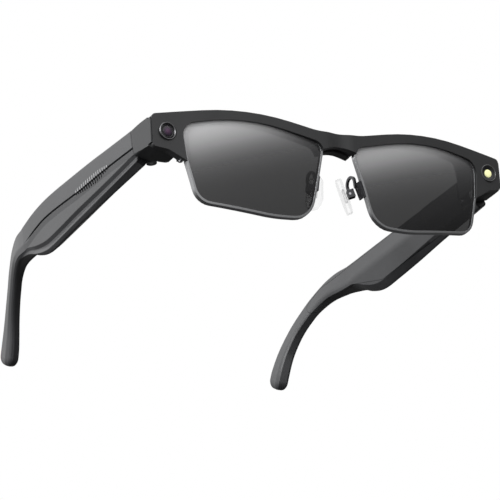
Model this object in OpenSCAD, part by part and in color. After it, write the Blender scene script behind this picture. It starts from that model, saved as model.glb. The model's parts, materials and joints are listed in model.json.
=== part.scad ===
// Smart glasses: half-rim sunglasses with a camera and a lamp in the brow, and
// electronics in two folding temples.
// X runs to the wearer's left, Y from the lenses back to the ear tips, Z up.
// The origin is the middle of the outline, on the surface that the rims and tips rest on.

/* [Stance] */
// Height of the camera's axis above the resting surface
camera_z = 28.4; // [27:0.1:30]
// Place of the camera's front along Y
front_y = -73.0; // [-76:0.1:-70]
// Forward lean of the front, in degrees
front_lean = 6.7; // [4:0.1:9]

/* [Front] */
// Half the distance between the camera and the lamp
eye_x = 67.5; // [67:0.1:68.5]
// Radius of the front's curve, seen from above
brow_r = 435; // [400:5:480]
// Front of the brow at the middle, measured from the camera's front
brow_y = -5.3; // [-6:0.1:-5]
// Thickness of the front cover
cover_t = 2; // [1.8:0.1:2.2]
// How far the cover's lip hangs over the top of a rim
lip_drop = 0.8; // [0.6:0.1:1]
// Depth of the brow bar from its face to its back
brow_depth = 6.4; // [6:0.1:7]
// Back face of the end blocks, where the temples stop
butt_y = 12.4; // [12:0.1:13]

/* [Lenses] */
// Radius of the lens's ball-shaped faces
lens_r = 260; // [240:5:300]
// Thickness of a lens
lens_t = 1.4; // [1.2:0.1:1.5]
// Depth of the metal rim, front to back
rim_depth = 1.8; // [1.7:0.1:2.2]
// Width of the metal rim, seen from the front
rim_w = 0.8; // [0.7:0.05:1]

/* [Temples] */
// Outer side of a temple, from the middle
temple_out = 74.8; // [74:0.1:76]
// Inner side of a temple, from the middle
temple_in = 67.4; // [67:0.1:68]
// Wall thickness of the temple's shell
wall = 1.3; // [1.1:0.1:1.5]
// Gap between the temple and the end block when open
open_gap = 0.15; // [0.1:0.05:0.3]

/* [Hinges] */
// Distance of a hinge's axis from the middle
hinge_x = 66.5; // [66.3:0.1:66.7]
// Place of the hinge's axis behind the camera's front
hinge_y = 15; // [14.8:0.1:15.2]
// Middle of the hinge's height
hinge_z = -1.3; // [-1.6:0.1:-1]
// Radius of a knuckle
knuckle_r = 1.9; // [1.7:0.05:2]
// Height of one of the three knuckles
knuckle_h = 2.9; // [2.6:0.1:3]
// Radius of the hinge screw's shank
pin_r = 0.8; // [0.7:0.05:0.9]
// Clearance of a part that turns on a pin
run_gap = 0.04; // [0.02:0.01:0.08]

/* [Nose pads] */
// Half the distance between the pads' middles
pad_x = 6.6; // [6.4:0.1:7]
// Place of the pads' middle behind the camera's front
pad_y = 5.6; // [5:0.1:6]
// Height of the pads' middle
pad_z = -14; // [-15:0.1:-13.5]
// Splay of the pads, seen from the front, in degrees
pad_splay = 14; // [12:1:16]

/* [Hidden] */
$fn = 48;
far = 200;
mid_z = -11;
lens_x = 34;
lens_front = -2.1;
lens_wrap = 4;
temple_front = butt_y + open_gap;
cover_front = 20.6;
hook_start = 100;
leaf_x = 68.9;
leaf_t = 1;
inner_x = temple_in + 1.4;
outer_x = temple_out - wall;
eye_r = 3.35;
seam_step = 0.3;
dip_back = 3.4;
block_low = -6;
pin_top = hinge_z + 1.5 * knuckle_h;
pin_bottom = hinge_z - 1.5 * knuckle_h;
ball_slope = tan(front_lean);
ball_x = lens_x - lens_r * sin(lens_wrap);
ball_z = mid_z + lens_r * ball_slope;
ball_y = lens_front + sqrt(lens_r * lens_r - pow(lens_x - ball_x, 2) - pow(ball_z - mid_z, 2));

// ---- outlines ----

function unit(v) = v / norm(v);

// Arc of radius r that rounds the corner at b, between a and c
function corner(a, b, c, r, n) =
    let (
        u = unit(a - b),
        v = unit(c - b),
        half = acos(u * v) / 2,
        centre = b + unit(u + v) * r / sin(half),
        p = b + u * r / tan(half) - centre,
        q = b + v * r / tan(half) - centre,
        start = atan2(p[1], p[0]),
        turn = (atan2(q[1], q[0]) - start + 540) % 360 - 180
    )
    [for (i = [0:n]) centre + r * [cos(start + turn * i / n), sin(start + turn * i / n)]];

// Closed outline through corners given as [x, y, radius]
function rounded(pts, n = 6) = [
    for (i = [0:len(pts) - 1])
        let (
            a = pts[(i + len(pts) - 1) % len(pts)],
            b = pts[i],
            c = pts[(i + 1) % len(pts)]
        )
        each b[2] > 0
            ? corner([a[0], a[1]], [b[0], b[1]], [c[0], c[1]], b[2], n)
            : [[b[0], b[1]]]
];

// Outline moved outward by d; it runs anticlockwise
function grow(pts, d) = [
    for (i = [0:len(pts) - 1])
        let (
            a = pts[(i + len(pts) - 1) % len(pts)],
            b = pts[i],
            c = pts[(i + 1) % len(pts)],
            e = unit(b - a),
            f = unit(c - b),
            n = [e[1], -e[0]],
            m = [f[1], -f[0]]
        )
        b + d * (n + m) / (1 + n * m)
];

// Outer edge of the left rim, as seen from the front
rim_outline = rounded([
    [62.5, 4.0, 5.5],
    [38, 8.4, 80],
    [5.5, 1.2, 4.5],
    [13.2, -28.1, 9.3],
    [28, -28.6, 60],
    [57.3, -24.9, 7],
    [61.1, -9.5, 30]
]);

// Top edge of the brow, from the right end block to the left
brow_top = [
    [73.1, 6.1, 1.6],
    [37, 10.3, 110],
    [9, 4.8, 30],
    [-9, 4.8, 30],
    [-37, 10.3, 110],
    [-73.1, 6.1, 1.6]
];
brow_outline = rounded(concat(brow_top, [
    [-73.1, -5.6, 1.4],
    [-67.5, -6.7, 4],
    [-59.5, -11.4, 0.8],
    [-52, -6, 0],
    [-14, -6, 0],
    [-6.6, -1.7, 1],
    [0, 0.4, 12],
    [6.6, -1.7, 1],
    [14, -6, 0],
    [52, -6, 0],
    [59.5, -11.4, 0.8],
    [67.5, -6.7, 4],
    [73.1, -5.6, 1.4]
]));

// End block seen from the front, behind the cover
block_outline = rounded([
    [74.8, 5.3, 1],
    [50, 7.6, 0],
    [50, 6.4, 0],
    [58, 1.8, 0],
    [60, block_low, 0],
    [70, block_low, 6],
    [74.8, -4.6, 1.2]
]);

// Brow bar and end blocks seen from above
plan_back = rounded([
    [temple_out + 0.1, butt_y, 0],
    [62.2, butt_y, 1.5],
    [56.5, 5.6, 5],
    [30, brow_y + brow_depth + 1.1, 60],
    [-30, brow_y + brow_depth + 1.1, 60],
    [-56.5, 5.6, 5],
    [-62.2, butt_y, 1.5],
    [-temple_out - 0.1, butt_y, 0],
    [-73.4, 0, 0],
    [-30, -20, 0],
    [30, -20, 0],
    [73.4, 0, 0]
]);

// Straight part of the temple seen from the side, Y then Z
temple_side = rounded([
    [temple_front, -8.9, 0.6],
    [46, -9.2, 90],
    [64, -10.4, 40],
    [84, -11, 10],
    [hook_start + 1.6, -3.4, 0],
    [hook_start + 1.6, 6.4, 0],
    [95, 7.9, 30],
    [80, 9.8, 40],
    [46, 7.9, 60],
    [temple_front, 5.4, 0.5]
]);

// Ear hook, row by row: middle X, Y, Z, half thickness, half depth, squareness
hook_rows = [
    [71.1, hook_start, 1.5, 3.55, 4.9, 7],
    [70.4, 107.2, 2.1, 3.45, 4.8, 5],
    [68.7, 115.4, 1.5, 3.0, 4.3, 3],
    [66.5, 123.4, -1.2, 2.5, 3.75, 2.6],
    [64.6, 129.4, -4.8, 2.4, 3.5, 2.4],
    [63, 134.6, -8.7, 2.4, 3.5, 2.4],
    [61.6, 139.4, -13.4, 2.45, 3.85, 2.4],
    [60.7, 142.8, -17.5, 2.55, 4.3, 2.4],
    [60.1, 145.9, -21.9, 2.7, 4.75, 2.4],
    [59.9, 147.8, -24.8, 2.7, 4.9, 2.4]
];

// Smooth curve through four rows, at t between the second and the third
function between(a, b, c, d, t) =
    (2 * b + (c - a) * t + (2 * a - 5 * b + 4 * c - d) * t * t + (3 * b - a - 3 * c + d) * t * t * t) / 2;

function smooth_rows(rows, n) = concat([
    for (i = [0:len(rows) - 2], k = [0:n - 1])
        between(rows[max(i - 1, 0)], rows[i], rows[i + 1], rows[min(i + 2, len(rows) - 1)], k / n)
], [rows[len(rows) - 1]]);

hook = smooth_rows(hook_rows, 4);
hook_last = len(hook) - 1;

// Steepness of the hook at a row, in degrees below level
function fall(i) =
    let (a = hook[max(i - 1, 0)], b = hook[min(i + 1, hook_last)])
    i == 0 ? 0 : atan2(a[2] - b[2], b[1] - a[1]);

// Ring of points round the hook at a row, moved along and shrunk
function hook_ring(i, along, size) =
    let (h = hook[i], f = fall(i), n = 24)
    [for (k = [0:n - 1])
        let (
            c = cos(360 * k / n),
            d = sin(360 * k / n),
            r = size / pow(pow(abs(c), h[5]) + pow(abs(d), h[5]), 1 / h[5]),
            u = h[3] * c * r,
            v = h[4] * d * r
        )
        [h[0] + u, h[1] + v * sin(f) + along * cos(f), h[2] + v * cos(f) - along * sin(f)]
    ];

// Solid skin over a row of rings
module skin(rings) {
    n = len(rings[0]);
    m = len(rings);
    polyhedron(
        points = [for (ring = rings) each ring],
        faces = concat(
            [[for (k = [n - 1:-1:0]) k]],
            [for (i = [0:m - 2], k = [0:n - 1]) [i * n + k, i * n + (k + 1) % n, (i + 1) * n + k]],
            [for (i = [0:m - 2], k = [0:n - 1])
                [i * n + (k + 1) % n, (i + 1) * n + (k + 1) % n, (i + 1) * n + k]],
            [[for (k = [0:n - 1]) (m - 1) * n + k]]
        )
    );
}

module hook_solid() {
    skin(concat(
        [for (i = [0:hook_last]) hook_ring(i, 0, 1)],
        [hook_ring(hook_last, 1, 0.93), hook_ring(hook_last, 1.9, 0.76), hook_ring(hook_last, 2.4, 0.5)]
    ));
}

// Inner cover seen from the side, with a round back end
cover_side = rounded([
    [cover_front, -6.4, 0.8],
    [50, -6.9, 90],
    [80, -7.4, 12],
    [98, -3.2, 12],
    [116, -1.9, 12],
    [124.6, -5.2, 2.2],
    [126.6, -0.9, 2.2],
    [118, 3.4, 8],
    [100, 4.6, 60],
    [cover_front, 4.6, 0.8]
]);

// Band along the temple's inner side that the inner cover fills
cover_plan = [
    [temple_in - 1, cover_front],
    [inner_x, cover_front],
    [inner_x, 102],
    [68.4, 107],
    [67.2, 115],
    [65.5, 123],
    [64.2, 128],
    [58, 128],
    [60, 107]
];

// Band of a given half width along a path
function band(path, w) =
    let (
        last = len(path) - 1,
        n = [for (i = [0:last])
            let (d = unit(path[min(i + 1, last)] - path[max(i - 1, 0)]))
            [-d[1], d[0]]
        ]
    )
    concat([for (i = [0:last]) path[i] + w * n[i]], [for (i = [last:-1:0]) path[i] - w * n[i]]);

// ---- placing ----

// Puts a piece drawn from the camera's front into the standing frame
module in_place() {
    translate([0, front_y, camera_z]) children();
}

// Draws a piece made for the wearer's left on either side
module on(side) {
    if (side == "left") {
        children();
    } else {
        mirror([1, 0, 0]) children();
    }
}

// Solid with an outline seen from the front, between two depths
module front_slab(pts, y0, y1) {
    translate([0, y1, 0]) rotate([90, 0, 0]) linear_extrude(y1 - y0) polygon(pts);
}

// Solid with an outline seen from the side, between two distances from the middle
module side_slab(pts, x0, x1) {
    translate([x0, 0, 0]) rotate([90, 0, 90]) linear_extrude(x1 - x0) polygon(pts);
}

// Solid with an outline seen from above
module plan_slab(pts, z0, z1) {
    translate([0, 0, z0]) linear_extrude(z1 - z0) polygon(pts);
}

// Everything behind the brow's curved face, from a depth on
module behind_face(depth) {
    rotate([front_lean, 0, 0])
        translate([0, brow_y + brow_r, -far / 2])
            cylinder(r = brow_r - depth, h = far, $fn = 720);
}

// Ball whose front is the lens's face, moved back by a depth
module lens_ball(depth) {
    translate([ball_x, ball_y, ball_z]) sphere(r = lens_r - depth, $fn = 360);
}

// Stands a piece, drawn along -Y from the origin, on the face at the camera or the lamp
module at_eye() {
    translate([eye_x, 0, -0.2]) rotate([front_lean, 0, 0]) rotate([90, 0, 0]) children();
}

// Round piece between two depths behind the face at the camera or the lamp
module eye_disc(r, y0, y1, hole = 0) {
    at_eye() translate([0, 0, -y1]) difference() {
        cylinder(r = r, h = y1 - y0);
        if (hole > 0) translate([0, 0, -1]) cylinder(r = hole, h = y1 - y0 + 2);
    }
}

module box(low, high) {
    translate(low) cube(high - low);
}

// ---- front ----

// Space that the rim and its lens take in the brow
module rim_pocket() {
    intersection() {
        front_slab(grow(rim_outline, 0.1), -12, 30);
        lens_ball(-0.3);
    }
}

module front_cover() {
    color("#3c3d3f") in_place() difference() {
        intersection() {
            front_slab(brow_outline, -12, 12);
            behind_face(0);
            plan_slab(plan_back, -40, 40);
        }
        behind_face(cover_t);
        for (side = ["left", "right"]) on(side) {
            rim_pocket();
            translate([0, 0, -lip_drop]) front_slab(grow(rim_outline, -0.25), -14, 30);
            eye_disc(eye_r, -2, 6);
            rim_barrel(0.1, 4);
        }
        for (p = cover_screw_places) cover_screw(p, 0.8);
    }
}

// Room for the camera or the lamp inside an end block
module block_room() {
    box([63.4, -4, -4.6], [71.1, 9.6, 5]);
    box([63.4, 0.8, 4.9], [64.9, 3.6, 6.5]);
}

// Strip below the brow's top edge, between two depths under it
function brow_strip(upper, lower) =
    let (edge = [for (i = [6:35]) brow_outline[i]])
    concat(
        [for (p = edge) p - [0, upper]],
        [for (i = [len(edge) - 1:-1:0]) edge[i] - [0, lower]]
    );

// Channel along the brow for the flat cable
module flex_space(gap) {
    intersection() {
        front_slab(brow_strip(0.65 - gap, 0.9 + gap), -12, 12);
        box([-64.6, -12, -4], [64.6, 12, 12]);
        difference() {
            behind_face(cover_t);
            behind_face(cover_t + 2.8 + gap);
        }
    }
}

module leaf_pocket() {
    box([62.9, 11.3, -5.2], [68.1, butt_y + 1, 2.0]);
    box([65.4, butt_y - 0.15, pin_bottom - 1], [67.5, butt_y + 1, pin_top + 0.1]);
}

// Brow bar and end blocks behind the cover, with a strip beside it
module rear_solid() {
    intersection() {
        union() {
            front_slab(brow_outline, -12, dip_back);
            for (side = ["left", "right"]) on(side) front_slab(block_outline, -12, butt_y);
        }
        behind_face(cover_t);
    }
    for (side = ["left", "right"]) on(side) intersection() {
        box([73.2, -3, -4.3], [76, 6, 5]);
        behind_face(seam_step);
    }
}

module rear_shell() {
    color("#2c2d2f") in_place() difference() {
        intersection() {
            rear_solid();
            plan_slab(plan_back, -40, 40);
        }
        flex_space(0.1);
        bridge_slot();
        for (side = ["left", "right"]) on(side) {
            front_slab(grow(rim_outline, 0.1), -14, 30);
            block_room();
            leaf_pocket();
            for (z = [-4.1, 0.9]) front_screw_space(z);
            rim_barrel(0.1, 4);
        }
        for (p = cover_screw_places) cover_screw(p, 8);
    }
}

module rim(side) {
    color("#77797c") in_place() on(side) difference() {
        union() {
            difference() {
                intersection() {
                    front_slab(rim_outline, -12, 30);
                    lens_ball(-0.2);
                }
                lens_ball(rim_depth - 0.2);
                front_slab(grow(rim_outline, -rim_w), -20, 40);
            }
            rim_barrel(0, 0);
        }
        glass();
        rim_screw();
    }
}

module glass() {
    difference() {
        intersection() {
            front_slab(grow(rim_outline, -rim_w + 0.35), -12, 30);
            lens_ball(0);
        }
        lens_ball(lens_t);
    }
}

module lens(side) {
    color([0.15, 0.16, 0.18, 0.75]) in_place() on(side) glass();
}

// Slot in the brow for the bridge bar
module bridge_slot() {
    intersection() {
        translate([0, -0.45, -10.8]) rotate([90, 0, 0]) cylinder(r = 12.65, h = 2.3, $fn = 96);
        box([-8.6, -5, -6], [8.6, 5, 3]);
    }
}

// Arched metal bar that joins the rims under the brow
module bridge_bar() {
    color("#5a5c5f") in_place() difference() {
        translate([0, -1.6, 0]) intersection() {
            rotate([90, 0, 0]) translate([0, -10.8, -1.1]) difference() {
                cylinder(r = 12.6, h = 2.2, $fn = 96);
                translate([0, 0, -1]) cylinder(r = 11.3, h = 5, $fn = 96);
            }
            box([-8.4, -5, -6], [8.4, 5, 2]);
        }
        for (side = ["left", "right"]) on(side) front_slab(rim_outline, -14, 30);
    }
}

// ---- nose pads ----

// Frame of a pad: its face looks inward and back
module at_pad() {
    translate([pad_x, pad_y, pad_z]) rotate([0, -pad_splay, 0]) rotate([0, 0, -28]) children();
}

arm_r = 0.45;
arm_x = 8.4;
rim_slope = atan(7.7 / 29.3);

// Wire that rises from the pad's box, turns over and comes down to the rim
module arm_wire() {
    translate([arm_x, 3.6, -10]) rotate([90, 0, 90]) rotate([0, 0, -62])
        rotate_extrude(angle = 242, $fn = 64) translate([2.5 - arm_r, -arm_r]) square(2 * arm_r);
    box([arm_x - arm_r, 1.1 - arm_r, -12.6], [arm_x + arm_r, 1.1 + arm_r, -10]);
}

// Plate soldered to the rim's side
module solder_plate() {
    translate([8.76, 0, -11.2]) rotate([0, -rim_slope, 0]) box([-0.68, -2, -6], [-0.06, 1.6, 0]);
}

module pad_arm(side) {
    color("#2b2b2d") in_place() on(side) {
        arm_wire();
        solder_plate();
        at_pad() difference() {
            box([0.9, -1.5, -1.4], [3.4, 1.5, 1.5]);
            box([0.5, -0.8, -2], [2.8, 0.8, 0.95]);
            rotate([90, 0, 0]) translate([1.7, 0, -2]) cylinder(r = 0.45, h = 4, $fn = 24);
        }
    }
}

module pad_screw(side) {
    on(side) at_pad() rotate([90, 0, 0]) translate([1.7, 0, -1.7]) {
        cylinder(r = 0.45, h = 3.2, $fn = 24);
        cylinder(r = 0.8, h = 0.2, $fn = 24);
    }
}

module pad_screws() {
    color("silver") in_place() {
        pad_screw("left");
        pad_screw("right");
    }
}

pad_outline = rounded([
    [2.4, 6.6, 2.2],
    [-2.4, 6.6, 2.2],
    [-3.4, -3.2, 3],
    [-1.9, -6.8, 1.8],
    [2.2, -6.8, 1.8],
    [3.4, -3.2, 3]
]);

module pad(side) {
    color([0.9, 0.9, 0.9, 0.5]) in_place() on(side) at_pad() difference() {
        rotate([90, 0, 90]) translate([0, 0, -1.5]) linear_extrude(1.9) polygon(pad_outline);
        box([-0.6, -1.2, -2.4], [0.1, 1.2, 2.4]);
        box([0, -0.6, -0.7], [2, 0.6, 0.7]);
    }
}

// Stiff core moulded into the pad, with the lug that the arm's box holds
module pad_core(side) {
    color("gray") in_place() on(side) at_pad() difference() {
        union() {
            box([-0.6, -1.2, -2.4], [0.1, 1.2, 2.4]);
            box([0.1, -0.6, -0.7], [2.3, 0.6, 0.7]);
        }
        rotate([90, 0, 0]) translate([1.7, 0, -2]) cylinder(r = 0.45 + run_gap, h = 4, $fn = 24);
    }
}

// ---- camera and lamp ----

module camera_ring() {
    color("#9a9ca0") in_place() on("right") eye_disc(eye_r, -0.5, 1.6, 2.75);
}

module camera_glass() {
    color([0.1, 0.1, 0.15, 0.5]) in_place() on("right") eye_disc(2.75, 0.1, 0.7);
}

module camera_barrel() {
    color("#151517") in_place() on("right") {
        eye_disc(2.7, 0.8, 2.4, 1.5);
        eye_disc(2.6, 2.4, 5.6);
    }
}

module camera_board() {
    color("darkgreen") in_place() on("right") at_eye() {
        box([-3.6, -4, -6.6], [3.6, 3.4, -5.6]);
        box([-3, -3, -7.4], [3, 2.4, -6.6]);
    }
}

module lamp_ring() {
    color("#9a9ca0") in_place() on("left") {
        eye_disc(eye_r, -0.4, 1.6, 2.85);
        eye_disc(2.85, 0.3, 1.6, 1.45);
    }
}

module lamp_lens() {
    color("#f3efb0") in_place() on("left") eye_disc(1.45, 0.1, 2.2);
}

module lamp_board() {
    color("darkgreen") in_place() on("left") at_eye() {
        box([-3.6, -3.6, -3.8], [3.6, 3.4, -3.0]);
        box([-1.2, -1.2, -3.0], [1.2, 1.2, -2.3]);
    }
}

module brow_flex() {
    color("#b8742c") in_place() flex_space(0);
}

// ---- hinges ----

module knuckle(i, bore) {
    translate([hinge_x, hinge_y, pin_bottom + i * knuckle_h + 0.03]) difference() {
        cylinder(r = knuckle_r, h = knuckle_h - 0.06);
        translate([0, 0, -1]) cylinder(r = bore, h = knuckle_h + 2);
    }
}

module front_screw_space(z) {
    translate([64.4, 12.3, z]) rotate([90, 0, 0]) cylinder(r = 0.5, h = 3, $fn = 24);
}

module front_screw(z) {
    translate([64.4, 12.3, z]) rotate([90, 0, 0]) {
        cylinder(r = 0.5, h = 2.9, $fn = 24);
        cylinder(r1 = 0.95, r2 = 0.5, h = 0.45, $fn = 24);
    }
}

module front_leaf(side) {
    color("#8a8c90") in_place() on(side) difference() {
        union() {
            box([62.9, 11.3, -5.2], [68.1, 12.3, 2.0]);
            for (i = [0, 2]) {
                z0 = pin_bottom + i * knuckle_h + 0.03;
                knuckle(i, pin_r);
                difference() {
                    box([65.5, 12.3, z0], [67.4, 15, z0 + knuckle_h - 0.06]);
                    translate([hinge_x, hinge_y, z0 - 1]) cylinder(r = knuckle_r - 0.3, h = 9);
                }
            }
        }
        for (z = [-4.1, 0.9]) front_screw(z);
    }
}

module leaf_screws_front() {
    color("silver") in_place() {
        for (side = ["left", "right"]) {
            for (z = [-4.1, 0.9]) on(side) front_screw(z);
        }
    }
}

module hinge_screws() {
    color("silver") in_place() {
        for (side = ["left", "right"]) on(side) translate([hinge_x, hinge_y, 0]) {
            translate([0, 0, pin_bottom + 0.1]) cylinder(r = pin_r, h = pin_top - pin_bottom);
            translate([0, 0, pin_top]) cylinder(r = 1.4, h = 0.6);
        }
    }
}

module temple_leaf(side) {
    z0 = pin_bottom + knuckle_h + 0.03;
    color("#8a8c90") in_place() on(side) difference() {
        union() {
            box([leaf_x, 14, -4.0], [leaf_x + leaf_t, 31, 2.6]);
            knuckle(1, pin_r + run_gap);
            difference() {
                box([66.5, 15.2, z0], [leaf_x, 17.4, z0 + knuckle_h - 0.06]);
                translate([hinge_x, hinge_y, z0 - 1]) cylinder(r = knuckle_r - 0.3, h = 9);
            }
        }
        for (y = [23, 28.6]) leaf_screw(y);
    }
}

module leaf_screw(y) {
    translate([leaf_x, y, -0.7]) rotate([0, 90, 0]) {
        cylinder(r = 0.5, h = 3.2, $fn = 24);
        cylinder(r1 = 1, r2 = 0.5, h = 0.5, $fn = 24);
    }
}

module leaf_screws(side) {
    color("silver") in_place() on(side) for (y = [23, 28.6]) leaf_screw(y);
}

// ---- screws in the front ----

// Screws that hold the rear shell to the cover, from behind: X, Z, tip and seat along Y
cover_screw_places = [
    [72.4, 0, 1.7, 7], [-72.4, 0, 1.7, 7], [3.6, 1.8, -4.6, 0], [-3.6, 1.8, -4.6, 0]
];

module cover_screw(p, head_h) {
    translate([p[0], p[3] + head_h, p[1]]) rotate([90, 0, 0]) {
        cylinder(r = 0.5, h = p[3] - p[2] + head_h, $fn = 24);
        cylinder(r = 0.95, h = head_h, $fn = 24);
    }
}

module cover_screws() {
    color("silver") in_place() {
        for (p = cover_screw_places) cover_screw(p, 0.8);
    }
}

// Closing block of a rim, behind its outer corner
module rim_barrel(gap, drop) {
    box([60.7 - gap, 1.5 - gap, -9.4 - drop], [62.8 + gap, 4.4 + drop, -6.6 + gap]);
}

module rim_screw() {
    translate([61.8, 3.4, -9.8]) cylinder(r = 0.5, h = 2.8, $fn = 24);
    translate([61.8, 3.4, -9.8]) cylinder(r = 0.8, h = 0.4, $fn = 24);
}

module rim_screws() {
    color("silver") in_place() for (side = ["left", "right"]) on(side) rim_screw();
}

// ---- temples ----

module temple_solid() {
    difference() {
        union() {
            side_slab(temple_side, temple_in, temple_out);
            hook_solid();
        }
        // lower outer edge, cut back at a slant
        front_slab([[temple_out + 3, -2.15], [temple_out + 3, -14], [70.76, -14]], 0, 100);
        // inner side, leaning out towards the bottom
        front_slab([[66, 3.7], [66, -14], [71.3, -14]], 0, 100);
        // lower inner edge, cut back at a slant
        front_slab([[66, -5.45], [66, -14], [77.75, -14]], 0, 100);
        // top, sloping down to the inner side
        front_slab([[66, 4.4], [76, 9.9], [76, 14], [66, 14]], 0, 112);
        // inner side cut back for the hinge
        box([temple_in - 1, 0, -20], [leaf_x, cover_front, 20]);
    }
}

module cover_space() {
    intersection() {
        side_slab(cover_side, 50, 80);
        plan_slab(cover_plan, -40, 40);
    }
}

// Spring-steel strip inside the hook
module core_strip() {
    rows = [for (i = [6:hook_last - 1]) hook[i]];
    intersection() {
        side_slab(band([for (h = rows) [h[1], h[2]]], 0.9), 50, 80);
        plan_slab(band([for (h = rows) [h[0], h[1]]], 0.4), -40, 40);
    }
}

module cavity() {
    intersection() {
        side_slab(grow(cover_side, -0.9), inner_x - 0.5, outer_x);
        box([inner_x - 0.5, 32, -20], [outer_x, 101, 20]);
    }
}

// Slits over the speaker, longest in the middle of the row
slit_count = 16;
slit_pitch = 1.75;
slit_start = 31.6;

module slits() {
    for (i = [0:slit_count - 1]) {
        y = slit_start + i * slit_pitch;
        reach = 0.5 + 1.5 * sin(180 * (i + 0.5) / slit_count);
        box([outer_x - 1, y - 0.3, 1.4 - reach], [temple_out + 1, y + 0.3, 1.4 + reach]);
    }
}

// Fine step line along the outer side
groove_path = rounded([
    [temple_front - 1, -1.2, 0],
    [58, 1.1, 120],
    [80, 3.9, 30],
    [102, -0.6, 0],
    [101.8, -1.1, 0],
    [80, 3.3, 30],
    [58, 0.6, 120],
    [temple_front - 1, -1.7, 0]
]);

module temple_shell(side) {
    color("#3a3b3d") in_place() on(side) difference() {
        temple_solid();
        cover_space();
        cavity();
        core_strip();
        slits();
        side_slab(groove_path, temple_out - 0.45, temple_out + 1);
        box([leaf_x, 14, -4.0], [leaf_x + leaf_t, 31, 2.6]);
        for (y = [23, 28.6]) leaf_screw(y);
        button_well();
        translate([71.4, 66, 0]) microphone_hole();
    }
}

module inner_cover(side) {
    color("#2e2f31") in_place() on(side) difference() {
        intersection() {
            temple_solid();
            cover_space();
        }
        if (side == "right") {
            for (y = pin_places) pin(y);
            light_guide_body();
            magnets();
        }
    }
}

module microphone_hole() {
    translate([0, 0, -12]) cylinder(r = 0.5, h = 5.5, $fn = 24);
}

module microphone(side) {
    color("#b9bbbf") in_place() on(side) box([70.6, 64.2, -6], [73.2, 67.8, -5]);
}

module tip_core(side) {
    color("silver") in_place() on(side) core_strip();
}

module battery(side) {
    color("#a9b6c4") in_place() on(side) box([69.0, 70, -3.9], [73.2, 90, 3.5]);
}

module board(y1) {
    box([inner_x + 0.1, 33.2, -4.2], [inner_x + 0.9, y1, 3.4]);
    box([inner_x + 0.9, 60.5, -3], [inner_x + 1.9, 64, 2.4]);
}

module main_board() {
    color("darkgreen") in_place() on("right") board(69);
}

module side_board() {
    color("darkgreen") in_place() on("left") board(69);
}

module speaker(side) {
    color("#303338") in_place() on(side) {
        box([70.2, 34, -3.8], [72.6, 58, 3.6]);
        translate([72.6, 40, -0.2]) rotate([0, 90, 0]) cylinder(r = 3, h = 0.3);
        translate([72.6, 52, -0.2]) rotate([0, 90, 0]) cylinder(r = 3, h = 0.3);
    }
}

module speaker_mesh(side) {
    color("#1c1c1d") in_place() on(side) box([73.1, 33, -1.2], [outer_x, 59, 3.6]);
}

// ---- controls, charging ----

button_y = 44;
button_z = 6.9;

// Well in the temple's top for a button
module button_well() {
    box([69.9, button_y - 4.1, 3.6], [73.1, button_y + 4.1, 12]);
}

module button() {
    box([70.0, button_y - 4, button_z - 1.4], [73.0, button_y + 4, button_z + 0.5]);
}

module capture_button() {
    color("#46474a") in_place() on("right") button();
}

module power_button() {
    color("#46474a") in_place() on("left") button();
}

module switch() {
    box([70.4, button_y - 1.8, 3.6], [72.6, button_y + 1.8, 4.5]);
}

module capture_switch() {
    color("silver") in_place() on("right") switch();
}

module power_switch() {
    color("silver") in_place() on("left") switch();
}

pin_places = [52, 54.6, 57.2, 59.8];

module pin(y) {
    translate([temple_in - 0.05, y, -3]) rotate([0, 90, 0]) cylinder(r = 0.75, h = 1.5, $fn = 24);
}

module charge_pins() {
    color("#d6b35a") in_place() on("right") for (y = pin_places) pin(y);
}

module magnets() {
    for (y = [48.8, 63]) translate([inner_x - 0.9, y, -3]) rotate([0, 90, 0]) cylinder(r = 1.2, h = 0.95);
}

module charge_magnets() {
    color("#c9cbd0") in_place() on("right") magnets();
}

module light_guide_body() {
    translate([temple_in - 0.05, 34.6, 2]) rotate([0, 90, 0]) cylinder(r = 0.6, h = 1.5, $fn = 24);
}

module light_guide() {
    color([0.8, 0.9, 1, 0.7]) in_place() on("right") light_guide_body();
}

front_cover();
rear_shell();
rim("right");  // rim_right
rim("left");  // rim_left
bridge_bar();
lens("right");  // lens_right
lens("left");  // lens_left
pad_arm("right");  // pad_arm_right
pad_arm("left");  // pad_arm_left
camera_ring();
camera_glass();
camera_barrel();
camera_board();
lamp_ring();
lamp_lens();
lamp_board();
brow_flex();
front_leaf("right");  // front_leaf_right
front_leaf("left");  // front_leaf_left
hinge_screws();
leaf_screws_front();
rim_screws();
cover_screws();
pad_screws();
pad("right");  // pad_right
pad("left");  // pad_left
pad_core("right");  // pad_core_right
pad_core("left");  // pad_core_left
temple_shell("right");  // temple_shell_right
temple_shell("left");  // temple_shell_left
inner_cover("right");  // inner_cover_right
inner_cover("left");  // inner_cover_left
temple_leaf("right");  // temple_leaf_right
temple_leaf("left");  // temple_leaf_left
leaf_screws("right");  // leaf_screws_right
leaf_screws("left");  // leaf_screws_left
tip_core("right");  // tip_core_right
tip_core("left");  // tip_core_left
battery("right");  // battery_right
battery("left");  // battery_left
main_board();
side_board();
speaker("right");  // speaker_right
speaker("left");  // speaker_left
speaker_mesh("right");  // speaker_mesh_right
speaker_mesh("left");  // speaker_mesh_left
microphone("right");  // microphone_right
microphone("left");  // microphone_left
charge_pins();
charge_magnets();
light_guide();
capture_button();
power_button();
capture_switch();
power_switch();
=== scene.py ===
import json
import math

import bmesh
import bpy
from mathutils import Matrix, Vector


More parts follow.
